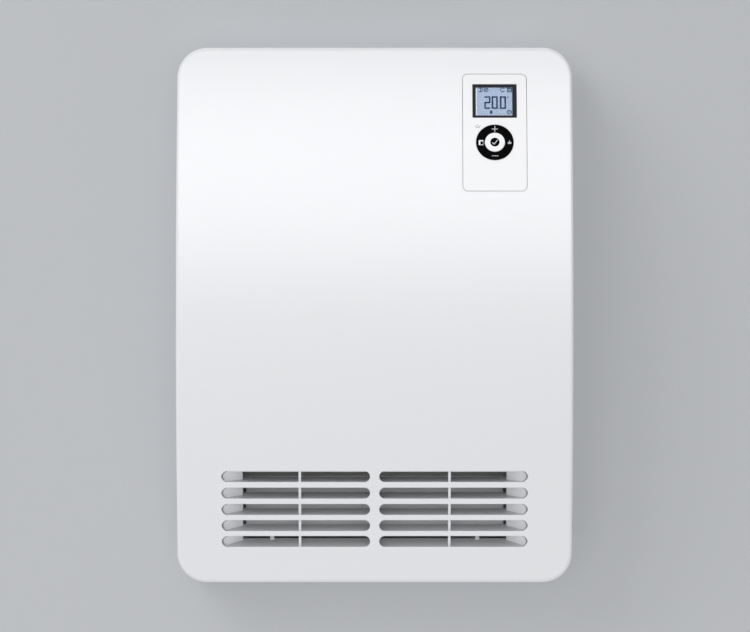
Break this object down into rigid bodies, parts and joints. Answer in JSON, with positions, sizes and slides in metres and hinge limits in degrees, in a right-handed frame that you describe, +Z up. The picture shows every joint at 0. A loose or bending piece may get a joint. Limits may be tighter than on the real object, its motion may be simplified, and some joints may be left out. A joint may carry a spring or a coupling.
{
  "type": "bathroom wall fan heater",
  "caption": "Wall-hung fan heater with a bowed casing, slotted air outlet, control panel with display and key ring, fan, heating element and top filter.",
  "frame": {"origin": "on the wall plane, at the middle of the wall bracket's four fixing holes", "axes": "+Z up, +Y into the wall, +X to the right seen from the front"},
  "size_m": [0.3473, 0.1199, 0.47],
  "materials": {
    "white_moulding": "smooth satin white moulding",
    "white_grille": "white heat-resistant moulding",
    "rear_moulding": "fine-textured pale grey moulding",
    "galvanised_sheet": "galvanised sheet with a faint spangle",
    "zinc_steel": "bright zinc-plated steel",
    "impeller_sheet": "thin matt aluminium blades",
    "shaft_steel": "ground steel",
    "rotor_steel": "laminated rotor, dark",
    "core_steel": "stack of laminations under black lacquer",
    "coil_winding": "enamelled copper under tape",
    "sintered_bronze": "oil-soaked sintered bronze",
    "element_steel": "aluminised sheet, slightly heat-tinted",
    "mica": "pressed mica sheet",
    "resistance_ribbon": "oxidised resistance ribbon",
    "black_plastic": "fine-grained black plastic",
    "black_gloss": "high-gloss black",
    "grey_rubber": "soft grey rubber",
    "keypad_rubber": "pale silicone rubber",
    "terminal_plastic": "cream thermosetting plastic",
    "board_green": "green circuit board",
    "relay_blue": "blue relay cases",
    "capacitor_black": "dark sleeves",
    "switch_metal": "small steel-topped switches",
    "fascia_white": "smooth white, glossier than the casing",
    "lcd_glass": "pale blue-grey liquid crystal",
    "clear_lens": "clear",
    "key_white": "white, smooth",
    "rocker_black": "semi-gloss black",
    "filter_plastic": "white moulding",
    "filter_net": "grey polymer net",
    "sensor_bead": "epoxy-dipped",
    "red_sheath": "coloured silicone sheathing",
    "heat_sheath": "braided heat-resistant sleeve",
    "blue_sheath": "pale blue sheathing",
    "brown_sheath": "brown sheathing",
    "grey_sheath": "grey jacket",
    "black_sheath": "black sheathing"
  },
  "bodies": {
    "heater_body": {"front_casing": "white_moulding", "rear_casing": "rear_moulding", "wall_bracket": "galvanised_sheet", "cover_screws": "zinc_steel", "outlet_grille": "white_grille", "scroll_plate": "galvanised_sheet", "tongue_plate": "galvanised_sheet", "fan_end_left": "galvanised_sheet", "fan_end_right": "galvanised_sheet", "motor_core": "core_steel", "motor_coil": "coil_winding", "motor_bridge_inner": "zinc_steel", "motor_bridge_outer": "zinc_steel", "motor_bearings": "sintered_bronze", "motor_screws": "zinc_steel", "end_bearing": "sintered_bronze", "bearing_cushion": "grey_rubber", "element_frame": "element_steel", "mica_strips": "mica", "heating_ribbons": "resistance_ribbon", "thermal_cutout": "black_plastic", "cable_grommet": "grey_rubber", "terminal_block": "terminal_plastic", "power_board": "board_green", "power_relays": "relay_blue", "board_capacitors": "capacitor_black", "control_panel": "fascia_white", "control_carrier": "rear_moulding", "display_board": "board_green", "tact_switches": "switch_metal", "key_mat": "keypad_rubber", "lcd_module": "lcd_glass", "display_bezel": "black_gloss", "display_lens": "clear_lens", "switch_body": "black_plastic", "filter_rack": "filter_plastic", "room_sensor": "sensor_bead", "fan_screws": "zinc_steel", "board_screws": "zinc_steel", "element_posts": "zinc_steel", "supply_leads": "red_sheath", "element_leads": "heat_sheath", "motor_leads": "blue_sheath", "switch_leads": "brown_sheath", "display_cable": "grey_sheath", "sensor_leads": "black_sheath"},
    "fan_rotor": {"impeller": "impeller_sheet", "motor_shaft": "shaft_steel", "stub_shaft": "shaft_steel", "motor_rotor": "rotor_steel"},
    "plus_key": {"plus_key": "black_gloss"},
    "menu_key": {"menu_key": "black_gloss"},
    "left_key": {"left_key": "black_gloss"},
    "right_key": {"right_key": "black_gloss"},
    "ok_key": {"ok_key": "key_white"},
    "mains_rocker": {"rocker": "rocker_black"},
    "air_filter": {"filter_frame": "filter_plastic", "filter_mesh": "filter_net"}
  },
  "joints": [
    {"name": "fan_spin", "type": "hinge", "parent": "heater_body", "child": "fan_rotor", "pos_m": [0, -0.049, -0.096], "axis": [1, 0, 0], "continuous": true},
    {"name": "plus_press", "type": "slide", "parent": "heater_body", "child": "plus_key", "axis": [0, 0.9515, -0.3076], "range_m": [0, 0.0006], "stiffness_N_per_m": 400, "springref_m": -0.0005},
    {"name": "menu_press", "type": "slide", "parent": "heater_body", "child": "menu_key", "axis": [0, 0.9515, -0.3076], "range_m": [0, 0.0006], "stiffness_N_per_m": 400, "springref_m": -0.0005},
    {"name": "left_press", "type": "slide", "parent": "heater_body", "child": "left_key", "axis": [0, 0.9515, -0.3076], "range_m": [0, 0.0006], "stiffness_N_per_m": 400, "springref_m": -0.0005},
    {"name": "right_press", "type": "slide", "parent": "heater_body", "child": "right_key", "axis": [0, 0.9515, -0.3076], "range_m": [0, 0.0006], "stiffness_N_per_m": 400, "springref_m": -0.0005},
    {"name": "ok_press", "type": "slide", "parent": "heater_body", "child": "ok_key", "axis": [0, 0.9515, -0.3076], "range_m": [0, 0.0006], "stiffness_N_per_m": 400, "springref_m": -0.0005},
    {"name": "mains_rock", "type": "hinge", "parent": "heater_body", "child": "mains_rocker", "pos_m": [0.1682, -0.036, -0.178], "axis": [0, 1, 0], "range_deg": [-16, 0]},
    {"name": "filter_lift", "type": "slide", "parent": "heater_body", "child": "air_filter", "axis": [0, 0, 1], "range_m": [0, 0.025]}
  ]
}
